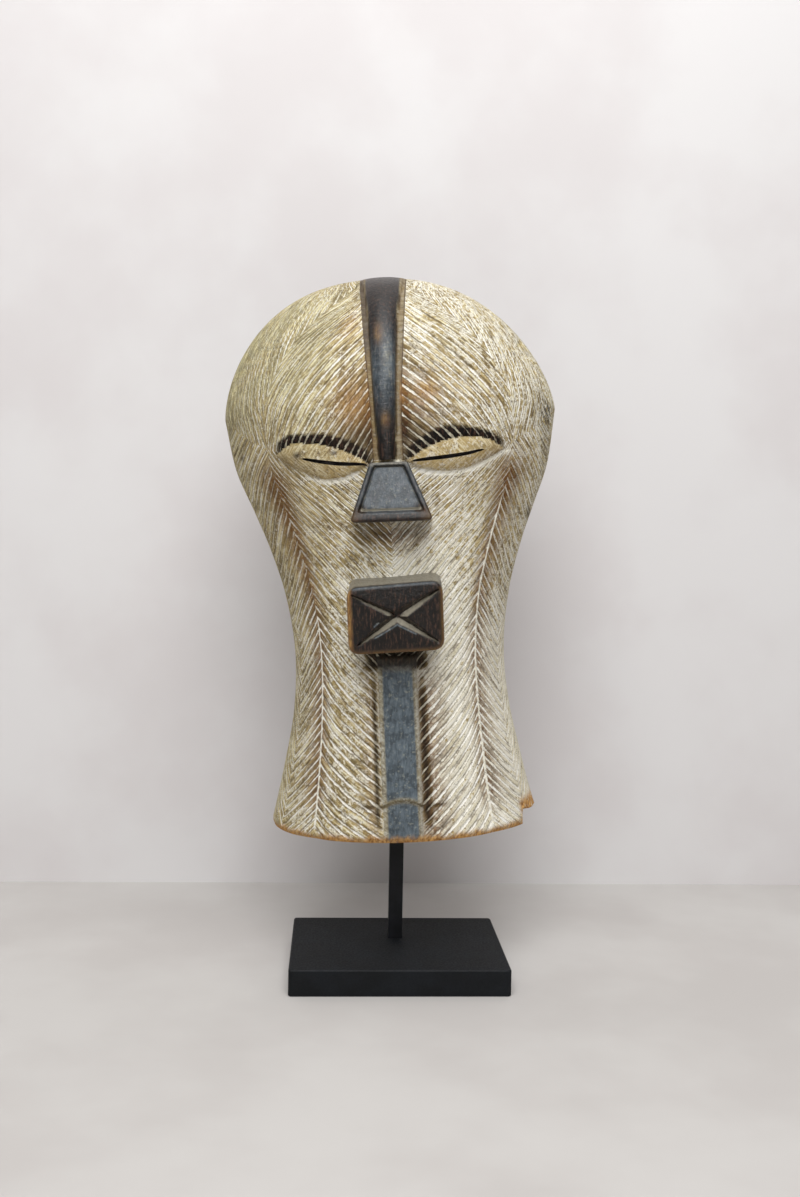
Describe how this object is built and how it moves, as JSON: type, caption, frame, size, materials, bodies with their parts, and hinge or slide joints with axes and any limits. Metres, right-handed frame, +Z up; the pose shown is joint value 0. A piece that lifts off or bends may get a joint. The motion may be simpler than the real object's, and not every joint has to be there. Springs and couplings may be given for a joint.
{
  "type": "songye mask on a stand",
  "caption": "Carved hollow wooden face mask with grooved skin, crest, slit eyes and square mouth, held upright on a square rod and a flat foot.",
  "frame": {"origin": "centre of the foot's underside, which stands on the surface", "axes": "+Z up, the mask looks towards -Y, +X to the viewer's right"},
  "size_m": [0.2471, 0.1309, 0.5007],
  "materials": {
    "carved_wood": "carved wood rubbed with white clay, worn and dirty",
    "black_steel": "satin black paint",
    "black_board": "matt black paint"
  },
  "bodies": {
    "root": {"mask": "carved_wood", "stand_rod": "black_steel", "stand_base": "black_board"}
  },
  "joints": []
}
